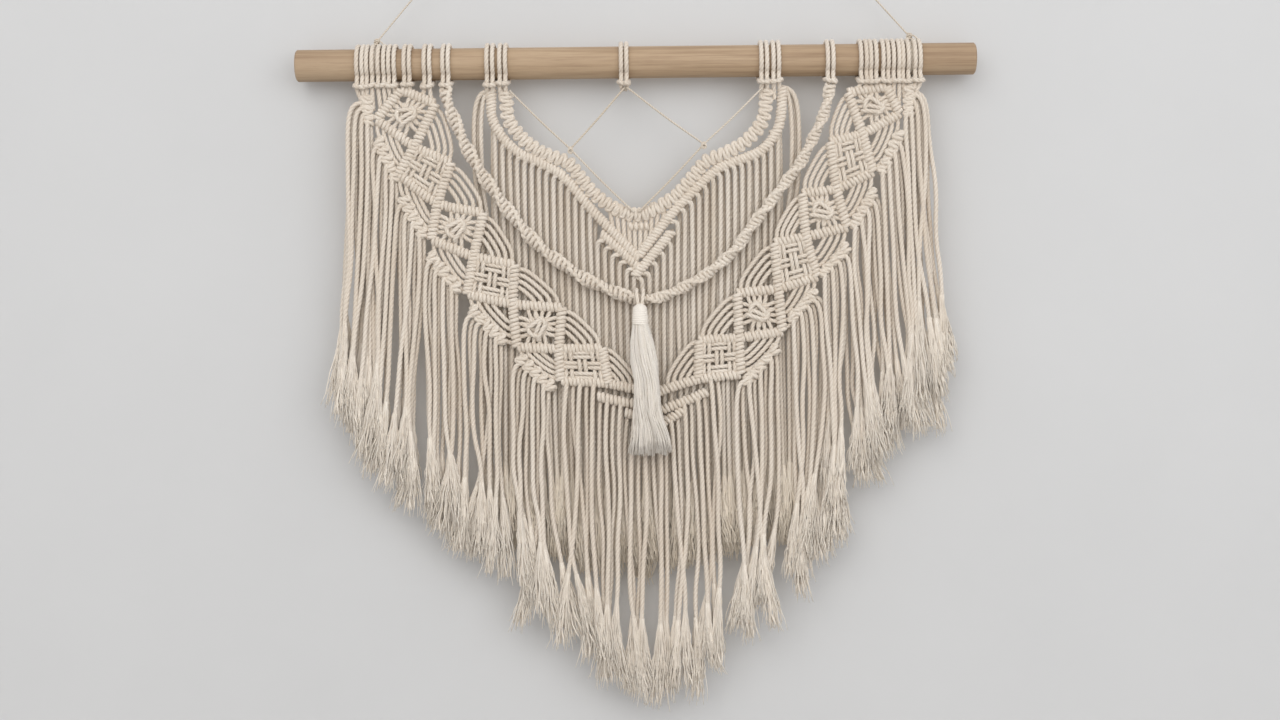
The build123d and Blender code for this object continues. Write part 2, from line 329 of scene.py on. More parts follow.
def makeCottonGroup():
    # colour of spun cotton: its own tone, soft blotches, painted shade in the grooves between plies, warm
    # frayed parts
    group, given, out = newGroup(
        "cottonColour",
        [("Light", "NodeSocketColor", (1, 1, 1, 1)), ("Dark", "NodeSocketColor", (0.5, 0.5, 0.5, 1)),
         ("Shade", "NodeSocketColor", (0.2, 0.2, 0.2, 1)), ("Fray", "NodeSocketColor", (0.5, 0.4, 0.3, 1)),
         ("Groove Shade Strength", "NodeSocketFloat", 0.5), ("Fibre Scale", "NodeSocketFloat", 900.0)],
        [("Color", "NodeSocketColor"), ("Height", "NodeSocketFloat")],
    )
    blotch = spread(group, addNoise(group, 22, 3), 0.35, 0.7)
    tone = addMath(group, "MULTIPLY", addAttribute(group, "tone"), 0.62)
    mixed = addMath(group, "ADD", tone, addMath(group, "MULTIPLY", blotch, 0.38))
    base = addMix(group, mixed, given.outputs["Light"], given.outputs["Dark"])
    warm = addMix(group, addAttribute(group, "warmth"), base, given.outputs["Fray"])
    # painted shade: the groove mask darkens the colour toward Shade where the plies meet
    groove = addMath(group, "POWER", addAttribute(group, "groove"), 1.6)
    shade = addMath(group, "MULTIPLY", groove, given.outputs["Groove Shade Strength"])
    fibreNode = group.nodes.new("ShaderNodeTexNoise")
    setSockets(fibreNode, Detail=2.0, Roughness=0.6)
    coords = group.nodes.new("ShaderNodeTexCoord")
    group.links.new(coords.outputs["Object"], fibreNode.inputs["Vector"])
    group.links.new(given.outputs["Fibre Scale"], fibreNode.inputs["Scale"])
    fibre = fibreNode.outputs["Fac"]
    grained = addMix(group, addMath(group, "MULTIPLY", spread(group, fibre, 0.42, 0.7), 0.22), warm,
                     given.outputs["Shade"])
    group.links.new(addMix(group, shade, grained, given.outputs["Shade"]), out.inputs["Color"])
    group.links.new(fibre, out.inputs["Height"])
    return group


cottonColour = makeCottonGroup()


def makeCotton(name, light, dark, grooveShadeStrength, fibreScale, bumpDepth, fray=finish["fray"]):
    material = bpy.data.materials.new(name)
    material.use_nodes = True
    tree = material.node_tree
    shader = tree.nodes["Principled BSDF"]
    setSockets(shader, Roughness=0.92)
    shader.inputs["Specular IOR Level"].default_value = 0.18
    shader.inputs["Sheen Weight"].default_value = 0.22
    shader.inputs["Sheen Roughness"].default_value = 0.5
    group = tree.nodes.new("ShaderNodeGroup")
    group.node_tree = cottonColour
    setSockets(group, **{"Light": light, "Dark": dark, "Shade": finish["cordShade"], "Fray": fray,
                         "Groove Shade Strength": grooveShadeStrength, "Fibre Scale": fibreScale})
    bump = tree.nodes.new("ShaderNodeBump")
    setSockets(bump, Strength=0.5, Distance=bumpDepth)
    tree.links.new(group.outputs["Color"], shader.inputs["Base Color"])
    tree.links.new(group.outputs["Height"], bump.inputs["Height"])
    tree.links.new(bump.outputs["Normal"], shader.inputs["Normal"])
    return material


def makeWood():
    material = bpy.data.materials.new("dowelWood")
    material.use_nodes = True
    tree = material.node_tree
    shader = tree.nodes["Principled BSDF"]
    setSockets(shader, Roughness=0.58)
    shader.inputs["Specular IOR Level"].default_value = 0.35
    broad = spread(tree, addNoise(tree, 1, 4, (3.2, 46, 46)), 0.32, 0.68)
    streak = spread(tree, addNoise(tree, 1, 6, (7, 260, 260), 0.65), 0.46, 0.68)
    fine = addNoise(tree, 1, 3, (60, 1700, 1700))
    place = tree.nodes.new("ShaderNodeTexCoord")
    split = tree.nodes.new("ShaderNodeSeparateXYZ")
    tree.links.new(place.outputs["Object"], split.inputs["Vector"])
    toEnd = spread(tree, addMath(tree, "ABSOLUTE", split.outputs["X"], 0), 0.1, 0.28)
    base = addMix(tree, broad, finish["woodLight"], finish["woodMid"])
    base = addMix(tree, addMath(tree, "MULTIPLY", toEnd, 0.26), base, finish["woodDark"])  # aged ends
    lined = addMix(tree, addMath(tree, "MULTIPLY", streak, 0.6), base, finish["woodDark"])
    pores = addMath(tree, "MULTIPLY", spread(tree, fine, 0.55, 0.75), 0.3)
    tree.links.new(addMix(tree, pores, lined, finish["woodDark"]), shader.inputs["Base Color"])
    bump = tree.nodes.new("ShaderNodeBump")
    setSockets(bump, Strength=0.35, Distance=0.0004)
    tree.links.new(fine, bump.inputs["Height"])
    tree.links.new(bump.outputs["Normal"], shader.inputs["Normal"])
    return material


cordCotton = makeCotton("cordCotton", finish["cordLight"], finish["cordDark"], 0.42, 1500, 0.0004)
fringeCotton = makeCotton("fringeCotton", finish["cordLight"], finish["cordDark"], 0.42, 1500, 0.0004)
# inner fringe cotton: the cord cotton with painted warm shade, darker and warmer, and a warmer shaded fray
# colour
innerWarmShadeCotton = makeCotton("innerWarmShadeCotton", finish["innerLight"], finish["innerDark"], 0.42, 1500, 0.0004,
                         finish["innerFray"])
tasselCotton = makeCotton("tasselCotton", finish["tasselLight"], finish["tasselDark"], 0.3, 1800, 0.0003)
twineFibre = makeCotton("twineFibre", finish["twineLight"], finish["twineDark"], 0.7, 2600, 0.0003)
dowelWood = makeWood()
for socket in frame["nodes"]["dowel"].material_slots:
    socket.material = dowelWood
print("materials")


# The knots that everything is tied from


def rowFrame(line, s):
    # centre, direction and sideways direction of a row at distances s along it
    lengths = arcLength(line)
    centre = np.stack([np.interp(s, lengths, line[:, k]) for k in range(3)], axis=-1)
    ahead = np.stack([np.interp(s + 0.5, lengths, line[:, k]) for k in range(3)], axis=-1)
    behind = np.stack([np.interp(s - 0.5, lengths, line[:, k]) for k in range(3)], axis=-1)
    way = ahead - behind
    way /= np.linalg.norm(way, axis=-1, keepdims=True) + 1e-12
    side = np.cross(way, forward)
    side /= np.linalg.norm(side, axis=-1, keepdims=True) + 1e-12
    return centre, way, side


hitch = {"halfWidth": 2.85, "halfDepth": 2.55, "radius": 2.0, "pitch": 3.45, "slant": 0.9, "apart": 0.243,
         "core": 2.6, "jitter": 0.12}


def hitchRow(yarn, points, y, halfWidth=None, pitch=None, slant=None, lift=0.0):
    # double half hitches side by side around a core cord that follows the points
    line = smooth([(x, y - lift, z) for x, z in points], 1.0)
    length = arcLength(line)[-1]
    pairs = max(1, round(length / (2 * (pitch or hitch["pitch"]))))
    pairPitch = length / pairs
    middle = (np.arange(pairs) + 0.5) * pairPitch
    s = np.sort(np.concatenate([middle - hitch["apart"] * pairPitch, middle + hitch["apart"] * pairPitch]))
    s = np.clip(s + rng.normal(0, hitch["jitter"], len(s)), 0.3, length - 0.3)
    centre, way, side = rowFrame(line, s)
    theta = np.linspace(0.5 * math.pi, 2.5 * math.pi, 17)  # starts and ends at the back
    wide = (halfWidth or hitch["halfWidth"]) * rng.normal(1, 0.03, (len(s), 1, 1))
    deep = hitch["halfDepth"] * rng.normal(1, 0.04, (len(s), 1, 1))
    lean = (hitch["slant"] if slant is None else slant) + rng.normal(0, 0.15, (len(s), 1, 1))
    across, depth = np.cos(theta)[None, :, None], -np.sin(theta)[None, :, None]
    loops = (centre[:, None] + side[:, None] * across * wide + way[:, None] * across * lean
             + forward * depth * deep)
    tone = rng.uniform(0, 0.8, len(s))
    yarn.add(loops, hitch["radius"], 10, 3, 12.0, 0.16, tone)
    yarn.addCord(line, hitch["core"], 0.6)


knotBar = np.array([  # across, along, forward: one working cord crossing in front of its core
    (-1.0, -5.4, 0.0), (-3.9, -5.0, 0.9), (-4.9, -2.2, 0.9), (-3.3, 0.2, 1.8), (0.0, 0.9, 3.0),
    (3.0, 1.6, 1.8), (4.3, 2.8, -0.2), (3.4, 4.2, -1.8),
])


wideBar = [  # across, up, forward: one cord crossing the front of a wide knot
    (-6.6, -1.4, -1.8), (-8.2, -1.2, 0.6), (-6.6, -0.6, 2.7), (-2.4, -0.2, 4.1),
    (2.4, 0.2, 4.1), (6.6, 0.6, 2.7), (8.2, 1.2, 0.6), (6.6, 1.4, -1.8),
]
sideLoop = [(-3.4, 6.2, 1.0), (-6.6, 4.4, 3.0), (-8.0, 0.4, 3.8), (-6.4, -4.2, 3.0), (-3.0, -5.6, 1.2)]


def addBar(yarn, centre, way, side, size, mirror, spin, stretch):
    bar = knotBar * size
    across = bar[:, 0] * mirror
    out = bar[:, 2]
    a = across * math.cos(spin) - out * math.sin(spin)
    f = across * math.sin(spin) + out * math.cos(spin)
    front = np.cross(side, way)
    path = centre + side * a[:, None] + way * (bar[:, 1] * stretch)[:, None] + front * f[:, None]
    yarn.addKnotCord(path, 2.1, rng.uniform(0, 0.7), 10, step=1.3)


def sennit(yarn, points, y, pitch=6.9, size=1.0):
    # square knots one after another round two straight core cords
    line = smooth([(x, y, z) for x, z in points], 1.0)
    length = arcLength(line)[-1]
    count = max(1, round(length / pitch))
    s = (np.arange(2 * count) + 0.5) * length / (2 * count)
    centre, way, side = rowFrame(line, s)
    for i in range(2 * count):
        addBar(yarn, centre[i], way[i], side[i], size * rng.normal(1, 0.03), 1 if i % 2 else -1,
               rng.normal(0, 0.06), stretch=0.62)
    yarn.addCord(line, 3.3, 0.7)


def smallKnot(yarn, x, z, y, size=0.8, tilt=0.0):
    # one square knot tied round a short cord
    way = np.array([math.sin(tilt), 0, -math.cos(tilt)])
    side = np.cross(way, forward)
    centre = np.array([x, y, z])
    for step, mirror in ((-1.6, 1), (1.6, -1)):
        addBar(yarn, centre + way * step, way, side, size, mirror, rng.normal(0, 0.1), stretch=0.52)
    yarn.addCord(smooth([centre - way * 5, centre + forward * 0.4, centre + way * 5]), 3.0, 0.7)


def larksHead(yarn, x, targets, y):
    # a folded cord round the dowel: both ends pass down behind the fold, which lies as a bar in front
    around = dowelRadius + 2.35
    drop, tilt, out = rng.uniform(-1.3, 0.7), rng.normal(0, 0.45), rng.uniform(-0.5, 0.2)
    for sign, target in zip((-1, 1), targets):
        offset = sign * 2.35 + rng.normal(0, 0.12)
        hanging = [(target[0], y + 0.6, target[1]),
                   ((target[0] + x + offset) / 2, y - 0.4, target[1] * 0.45 - 13.5),
                   (x + offset, -14.0, -22.0)]
        front = [(x + offset, -around * math.cos(t) - 0.5 * (t < 0), around * math.sin(t))
                 for t in np.radians(np.linspace(-46, 80, 9))]
        behind = [(x + offset * (1 + 0.65 * i / 9), -around * math.cos(t), around * math.sin(t))
                  for i, t in enumerate(np.radians(np.linspace(98, 262, 10)))]
        fold = [(x + sign * 4.1, -8.0, -18.4), (x + sign * 4.4, -14.4 + out, -20.0 + drop + tilt * sign),
                (x + sign * 2.9, -17.9 + out, -20.6 + drop + tilt * sign),
                (x + sign * 1.3, -18.5 + out, -20.9 + drop), (x - sign * 0.4, -18.5 + out, -20.9 + drop)]
        yarn.addCord(smooth([*hanging, *front, *behind, *fold], 1.5), 2.15)


# The outer panel's plan: the bands are as in the solid model, the rows under them are not

bands = {
    "left": {
        "crossings": [
            (-206, -24), (-195, -74), (-175, -124), (-144, -171), (-110, -213), (-70, -253), (-27, -284),
        ],
        "inner": [(-176, -37), (-163, -89), (-135, -133), (-108, -179), (-67, -217), (-32, -253)],
        "outer": [(-228, -50), (-209, -98), (-181, -156), (-150, -204), (-107, -251), (-69, -281)],
        "scallops": [
            ((-237, -32), (-235, -51)), ((-226, -70), (-213, -101)), ((-205, -121), (-189, -151)),
            ((-181, -171), (-160, -199)), ((-145, -219), (-120, -245)), ((-104, -262), (-78, -286)),
        ],
        "strandEdges": [
            (-246, -229.5), (-226, -208), (-205, -184), (-180, -156), (-148, -117), (-108, -76),
        ],
    },
    "right": {
        "crossings": [
            (220, -26), (198, -67), (175, -115), (148, -157), (123, -202), (88, -245), (52, -280),
        ],
        "inner": [(186, -31), (170, -74), (145, -119), (120, -162), (87, -206), (53, -247)],
        "outer": [(231, -50), (207, -101), (184, -149), (157, -192), (126, -240), (89, -277)],
        "scallops": [
            ((240, -28), (239, -49)), ((230, -69), (215, -99)), ((206, -120), (190, -147)),
            ((182, -168), (162, -189)), ((152, -207), (135, -228)), ((119, -256), (94, -283)),
        ],
        "strandEdges": [
            (248, 231.5), (229, 211), (207, 186), (183, 159), (158, 131), (118, 80),
        ],
    },
}
bottomRows = [  # from each band's lower end in behind the tassel, where they close the middle
    [(-69, -281), (-27, -284), (7, -292)],
    [(89, -277), (52, -281), (12, -293)],
    [(-37, -295), (-20, -299), (6, -304)],
    [(60, -292), (40, -300), (12, -310)],
    [(-13, -309), (6, -316)],
    [(39, -308), (13, -323)],
]


def between(a, b, t):
    return a + (b - a) * t


def diamondRows(yarn, band, k):
    # rows from this diamond's side corners that cross below it and run on to the next one's side corners,
    # the first diamond's top rows, and a single short row on the last
    p = [np.array(q, float) for q in band["crossings"]]
    inner = [np.array(q, float) for q in band["inner"]]
    outer = [np.array(q, float) for q in band["outer"]]
    if k == 0:
        hitchRow(yarn, [p[0], between(p[0], inner[0], 0.5), inner[0]], layer["row"])
        hitchRow(yarn, [p[0], between(p[0], outer[0], 0.5), outer[0]], layer["row"], lift=0.8)
    if k < 5:
        hitchRow(yarn, [inner[k], p[k + 1], outer[k + 1]], layer["row"], lift=1.2)
        hitchRow(yarn, [outer[k], p[k + 1], inner[k + 1]], layer["row"])
    else:
        hitchRow(yarn, [inner[k], p[k + 1]], layer["row"], lift=1.2)


def weave(yarn, band, k):
    # pairs of cords that go over and under each other between opposite sides
    a, b = np.array(band["crossings"][k], float), np.array(band["inner"][k], float)
    c, d = np.array(band["crossings"][k + 1], float), np.array(band["outer"][k], float)
    lines = 3
    for first in (True, False):
        for i in range(lines):
            for pair in (-1, 1):
                u = (i + 0.62) / (lines + 0.24) + pair * 0.062
                start, end = (between(a, b, u), between(d, c, u)) if first else (between(a, d, u),
                                                                                  between(b, c, u))
                points = [start]
                depths = [0.0]
                for j in range(lines):
                    v = (j + 0.62) / (lines + 0.24)
                    points.append(between(start, end, v))
                    over = (i + j) % 2 == (0 if first else 1)
                    depths.append(1.9 if over else -1.3)
                points.append(end)
                depths.append(0.0)
                path = [(q[0], layer["row"] - f, q[1]) for q, f in zip(points, depths)]
                yarn.addKnotCord(path, 2.05, rng.uniform(0, 0.9))


def flower(yarn, band, k):
    # a wide square knot of doubled cords with the same cords fanning out to the four sides
    a, b = np.array(band["crossings"][k], float), np.array(band["inner"][k], float)
    c, d = np.array(band["crossings"][k + 1], float), np.array(band["outer"][k], float)
    middle = (a + b + c + d) / 4
    for start, end in ((a, b), (a, d), (c, b), (c, d)):
        for t in (0.30, 0.46, 0.62, 0.78):
            rim = between(start, end, t)
            toward = between(rim, middle, 0.5) + (rim - between(start, end, 0.54)) * 0.25
            path = [(rim[0], layer["row"] + 0.5, rim[1]), (toward[0], layer["row"] - 0.8, toward[1]),
                    (between(rim, middle, 0.86)[0], layer["row"] - 0.3, between(rim, middle, 0.86)[1])]
            yarn.addKnotCord(path, 2.0, rng.uniform(0, 0.9))
    up = 1.12 * (a - c) / np.linalg.norm(a - c)
    across = np.array([up[1], -up[0]])

    def lay(shape, size, turn, rise=0.0, mirror=1):
        path = []
        cosine, sine = math.cos(turn), math.sin(turn)
        for u, v, f in shape:
            u, v = u * mirror * cosine - v * sine, u * mirror * sine + v * cosine
            spot = middle + across * u * size + up * (v * size + rise)
            path.append((spot[0], layer["row"] - f - 0.6, spot[1]))
        yarn.addKnotCord(path, 2.15, rng.uniform(0, 0.6), groove=0.2, step=1.5)

    for rise, turn in ((-4.6, 0.3), (-0.6, 0.2), (3.6, -0.28)):
        lay(wideBar, 0.92 if rise else 1.0, turn + rng.normal(0, 0.06), rise)
    lay(sideLoop, 0.95, 0.12)
    lay(sideLoop, 0.82, -0.15, 0.6, -1)
    for shift in (-4.6, 0.0, 4.6):
        ends = [middle + across * shift * w + up * v for v, w in ((9.5, 1.5), (0.0, 0.8), (-9.5, 1.5))]
        path = [(q[0], layer["row"] - 0.4 - (i == 1), q[1]) for i, q in enumerate(ends)]
        yarn.addCord(smooth(path, 1.6), 2.1)


def fan(yarn, corner, first, second, shares, y, bulge):
    # nested arcs of bare cord from one row to the next round a shared corner
    corner, first, second = (np.array(q, float) for q in (corner, first, second))
    away = (first + second) / 2 - corner
    away /= np.linalg.norm(away)
    for i, t in enumerate(shares):
        a, b = between(corner, first, t), between(corner, second, t)
        reach = np.linalg.norm(b - a) * bulge
        m1, m2 = between(a, b, 0.22) + away * reach * 0.85, between(a, b, 0.76) + away * reach * 0.9
        path = [(a[0], y, a[1]), (m1[0], y - 0.5, m1[1]), (m2[0], y - 0.5, m2[1]), (b[0], y, b[1])]
        yarn.addKnotCord(path, 2.1, rng.uniform(0, 0.9))


def buildBand(side):
    band = bands[side]
    for k in range(6):
        yarn = Yarn()
        diamondRows(yarn, band, k)
        if k % 2 == 0:
            flower(yarn, band, k)
        else:
            weave(yarn, band, k)
        piece = yarn.make(f"{side}Diamond{k + 1}", cordCotton, "cotton_cord", "outer_panel")
        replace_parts(piece, f"{side}_diamond_{k + 1}")
    wings, aprons = Yarn(), Yarn()
    for k in range(5):
        corner = band["crossings"][k + 1]
        fan(wings, corner, band["inner"][k], band["inner"][k + 1], (0.45, 0.61, 0.77, 0.93), -12.2, 0.13)
        fan(aprons, corner, band["outer"][k], band["outer"][k + 1], (0.46, 0.62, 0.78, 0.94), -12.2, 0.12)
    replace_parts(wings.make(f"{side}Wings", cordCotton, "cotton_cord", "outer_panel"), f"{side}_wings")
    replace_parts(aprons.make(f"{side}Aprons", cordCotton, "cotton_cord", "outer_panel"), f"{side}_aprons")
    knots = Yarn()
    for (x0, z0), (x1, z1) in band["scallops"]:
        for t in (0.02, 0.26, 0.50, 0.74, 0.98):
            smallKnot(knots, x0 + (x1 - x0) * t, z0 + (z1 - z0) * t, -13.4, 0.92, rng.normal(0, 0.4))
    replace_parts(knots.make(f"{side}ScallopKnots", cordCotton, "cotton_cord", "outer_panel"),
                f"{side}_scallop_knots")


for side in bands:
    buildBand(side)
rows = Yarn()
for points in bottomRows:
    hitchRow(rows, points, layer["row"])
fan(rows, (-27, -284), (-32, -253), (-1, -289), (0.36, 0.57, 0.78, 0.98), -12.2, 0.13)
fan(rows, (52, -280), (53, -247), (24, -289), (0.36, 0.57, 0.78, 0.98), -12.2, 0.13)
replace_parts(rows.make("bottomRows", cordCotton, "cotton_cord", "outer_panel"), "bottom_hitch_rows")
print("outer panel")


# Lark's heads on the dowel, with the short cords under them

headGroups = {  # body, depth, then each head's place and where its two cords run to
    "outer": ("outer_panel", layer["row"] + 0.6, [
        (-242.5, ((-241, -34), (-237, -38))), (-233.8, ((-236, -44), (-231, -42))),
        (-223.8, ((-224, -44), (-220, -36))), (-214.6, ((-215, -34), (-209, -30))),
        (-201.0, ((-203, -30), (-196, -31))), (-183.4, ((-188, -33), (-179, -38))),
        (200.1, ((189, -34), (197, -32))), (208.9, ((204, -31), (211, -29))),
        (219.5, ((216, -28), (222, -31))), (228.9, ((226, -40), (231, -44))),
        (237.1, ((236, -36), (240, -40))), (247.7, ((243, -32), (242, -38))),
    ]),
    "inner": ("inner_panel", layer["innerRow"], [
        (-128.3, ((-131, -33), (-126, -36))), (-117.3, ((-119, -34), (-113, -36))),
        (-10.6, ((-11.6, -25.5), (-9.4, -25.5))),
        (112.8, ((110, -36), (116, -34))), (123.4, ((122, -36), (128, -33))),
    ]),
    "swag": ("swag", layer["swag"] + 2, [
        (-167.0, ((-168, -34), (-164, -36))), (171.0, ((168, -36), (172, -34))),
    ]),
}
for label, (body, y, heads) in headGroups.items():
    yarn = Yarn()
    for x, targets in heads:
        larksHead(yarn, x, targets, y)
    piece = yarn.make(f"{label}LarksHeads", cordCotton, "cotton_cord", body)
    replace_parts(piece, f"{label}_lark_heads")
print("lark's heads")


# The inner panel: rows and sennits down to the tip, with the net in front

innerRows = {
    "left_inner_roll": [
        (-127, -25), (-127, -48), (-119, -65), (-104, -80), (-83, -90), (-64, -102), (-40, -131), (1, -175),
    ],
    "right_inner_roll": [
        (129, -25), (127, -52), (121, -68), (107, -82), (80, -92), (66, -100), (33, -132), (0, -173),
    ],
}
innerSennits = {
    "left_inner_sennit": [
        (-114, -26), (-113, -49), (-106, -61), (-96, -72), (-82, -81), (-60, -90), (-48, -105), (-35, -120),
        (-18, -131),
    ],
    "right_inner_sennit": [
        (115, -26), (113, -48), (107, -61), (96, -72), (80, -82), (62, -89), (48, -104), (35, -119),
        (17, -130),
    ],
}
for name, points in innerRows.items():
    yarn = Yarn()
    hitchRow(yarn, points, layer["innerRow"], 2.85, 3.2, 1.5)
    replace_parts(yarn.make(pieceName(name), cordCotton, "cotton_cord", "inner_panel"), name)
for name, points in innerSennits.items():
    yarn = Yarn()
    sennit(yarn, points, layer["innerRow"])
    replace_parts(yarn.make(pieceName(name), cordCotton, "cotton_cord", "inner_panel"), name)

tip = Yarn()
hitchRow(tip, [(-32, -152), (-15, -167), (1, -183)], layer["innerRow"], 2.7, 3.2, 1.5)
hitchRow(tip, [(30, -151), (15, -169), (2, -184), (-3, -190)], layer["innerRow"] - 1.5, 2.7, 3.2, 1.5)
hitchRow(tip, [(-8, -146), (10, -146)], layer["innerRow"], 2.2, 3.6, 0.5)
sennit(tip, [(-19, -131), (-6, -135), (0, -136), (6, -135), (18, -130)], layer["innerRow"])
for x, top, bottom in ((-12.5, -135, -160), (-7.5, -137, -166), (-2.5, -138, -170), (2.5, -138, -170),
                       (7.5, -137, -165), (12.5, -135, -160), (-18, -132, -154), (18, -132, -153),
                       (-24, -128, -148), (24, -127, -146)):
    tip.addCord(smooth([(x, -9, top), (x * 0.96, -9.5, (top + bottom) / 2), (x * 0.9, -9, bottom)]))
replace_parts(tip.make("innerTipRows", cordCotton, "cotton_cord", "inner_panel"), "inner_tip_rows")

netTies = {"left": (-58, -78), "right": (59, -75)}
netRuns = [
    ((-111, -26), "left"), ((-9.5, -24), "left"), ((-3, -134), "left"),
    ((-8.5, -24), "right"), ((111, -26), "right"), ((1, -134), "right"),
]
net = Yarn()
for (x, z), tie in netRuns:
    kx, kz = netTies[tie]
    sag = 0.012 * math.hypot(x - kx, z - kz)
    middle = ((x + kx) / 2, layer["net"], (z + kz) / 2 - sag)
    net.addTwine(smooth([(kx, layer["net"], kz), middle, (x, layer["net"], z)], 0.8), 1.0)
for kx, kz in netTies.values():
    for spin in range(3):
        ring = [(kx + 1.9 * math.cos(a) * (1 if spin else 0.5), layer["net"] - 0.9 * spin + 0.6,
                 kz + 1.9 * math.sin(a) - spin) for a in np.linspace(0, 6.6, 12)]
        net.addTwine(smooth(ring, 0.6), 0.8)
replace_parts(net.make("netCords", twineFibre, "twine", "inner_panel"), "net_cords")
print("inner panel")


# The swag in front of both panels

swagPoints = [
    (-167, -25), (-165, -36), (-157, -57), (-148, -78), (-131, -106), (-115, -129), (-87, -162), (-74, -173),
    (-44, -193), (-22, -203), (0, -211), (22, -208), (40, -200), (64, -186), (84, -169), (99, -149),
    (117, -126), (132, -107), (146, -88), (158, -64), (167, -42), (170, -25),
]


def spiralKnots(yarn, points, y, pitch, size, turnLength):
    # half knots all tied the same way, so that they climb round the core in a spiral
    line = smooth([(x, y, z) for x, z in points], 1.0)
    length = arcLength(line)[-1]
    count = int(length / pitch)
    s = (np.arange(count) + 0.5) * length / count
    centre, way, side = rowFrame(line, s)
    for i in range(count):
        addBar(yarn, centre[i], way[i], side[i], size * rng.normal(1, 0.04), 1,
               -2 * math.pi * s[i] / turnLength + rng.normal(0, 0.08), stretch=0.8)
        addBar(yarn, centre[i], way[i], side[i], size * 0.92, 1,
               math.pi - 2 * math.pi * s[i] / turnLength, stretch=0.8)
    yarn.addCord(line, 2.6, 0.7)


swag = {"left": (5.0, 0.98, 62), "right": (4.3, 0.8, 44)}  # pitch, size, length of a full turn
lowest = 10  # the swag's lowest point, where the tassel hangs
for side, points in (("left", swagPoints[: lowest + 1]), ("right", swagPoints[lowest:])):
    yarn = Yarn()
    spiralKnots(yarn, points, layer["swag"], *swag[side])
    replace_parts(yarn.make(f"{side}Swag", cordCotton, "cotton_cord", "swag"), f"swag_{side}")
print("swag")


# The fringes and their frayed ends

brush = {"locks": 56, "plies": 5, "length": 68.0, "spread": 7.8, "crimp": 1.25, "crimpLength": 13.0,
         "start": 16.0, "bend": 4.2, "stray": 2.6}


def taperEnd(line):
    # the cord's thickness along its line: it thins out where its plies come apart
    left = arcLength(line)[-1] - arcLength(line)
    return cord["radius"] * np.interp(left, (0, brush["start"]), (0.82, 1.0))


def frayedEnd(yarn, line, warmth=0.0):
    # crimped fibres round five loose plies, which all widen and thin out downwards
    end, way = line[-1], line[-1] - line[-6]
    length = brush["length"] * rng.uniform(0.88, 1.12)
    n = brush["locks"]
    t = np.linspace(0, 1, 9)
    way = way / np.linalg.norm(way)
    side = np.cross(way, forward)
    side /= np.linalg.norm(side)
    widen = brush["spread"] * rng.uniform(0.7, 1.15) * (1.3 if rng.random() < 0.3 else 1)
    bend = rng.normal(0, brush["bend"])
    angle = rng.uniform(0, 2 * math.pi, n)
    ring = np.sqrt(rng.uniform(0.15, 1, n))
    start = rng.uniform(3, brush["start"], (n, 1))
    along = (length * rng.uniform(0.5, 1.0, (n, 1)) ** 0.8 + start) * t[None] - start
    opened = np.clip(along / length, 0, 1)
    flow = (1.55 + (widen - 1.55) * opened**0.8) * ring[:, None]
    phase = rng.uniform(0, 6.28, (n, 1))
    wave = brush["crimp"] * np.sin(along * (2 * math.pi / brush["crimpLength"]) + phase) * np.sqrt(opened)
    x = flow * np.cos(angle)[:, None] + wave + (rng.normal(0, brush["stray"], (n, 1)) + bend) * opened**2
    f = flow * np.sin(angle)[:, None] * (1 - 0.4 * opened) + wave[::-1] * 0.7
    lines = end + way * along[..., None] + side * x[..., None] + forward * f[..., None]
    radii = np.interp(t, (0, 0.22, 1), (0.3, 0.8, 0.32)) * rng.uniform(0.75, 1.15, (n, 1))
    tone = np.clip(rng.normal(0.35, 0.22, n), 0, 1)
    yarn.add(lines, radii, 3, 0, 10, 0, tone, np.clip(warmth + 0.1 + 0.45 * opened, 0, 1))
    t = np.linspace(0, 0.92, 13)[None]
    turn = rng.uniform(0, 6.28) + np.arange(brush["plies"])[:, None] * 1.256 + 2.2 * t
    apart = 1.0 + (widen * 0.42 - 1.0) * t**0.9
    wave = 0.9 * np.sin(t * 15 + turn * 2) * np.sqrt(t)
    x = apart * np.cos(turn) + wave + bend * t**2
    f = apart * np.sin(turn) * 0.8 - wave * 0.6
    plies = end + way * (length * t[..., None] - 2) + side * x[..., None] + forward * f[..., None]
    radii = np.interp(t, (0, 0.35, 0.92), (1.25, 1.5, 0.6)) * rng.uniform(0.8, 1.15, (brush["plies"], 1))
    yarn.add(plies, radii, 6, tone=0.45, warmth=warmth + 0.3)


hemLine = [
    (-275, -283), (-255, -330), (-220, -363), (-184, -411), (-140, -443), (-105, -474), (-78, -510),
    (-34, -545), (1, -568), (45, -564), (71, -529), (98, -511), (124, -485), (168, -429), (190, -377),
    (234, -333), (261, -302), (275, -262),
]
fringe = {"lean": 0.082, "topReach": 235, "perLayer": 4, "centreCount": 12, "stubClear": 5.2,
          "shifts": ((0.3, "front"), (0.8, "back"), (0.55, "deep")), "deepFrom": 147, "edgeFrom": 222,
          "centreEdges": (-69, 73),
          "bows": {"left": (9.0, 8.5, 9.0, 9.0, 8.5, 6.0), "right": (9.5, 9.5, 9.0, 9.0, 8.5, 6.0)}}
centreRows = [  # the lowest row over each stretch, which the centre strands come out of
    (-69, -281), (-39, -283), (-37, -296), (-15, -300), (-12, -310), (10, -316), (21, -320), (39, -309),
    (41, -300), (60, -293), (62, -281), (73, -280),
]


def heightOn(points, x):
    return float(np.interp(x, [p[0] for p in points], [p[1] for p in points]))


clumps = np.cumsum(rng.uniform(19, 31, 24)) - 300  # where neighbouring ends gather


def toClump(x, pull):
    return x + pull * (clumps[np.argmin(np.abs(clumps - x))] - x)


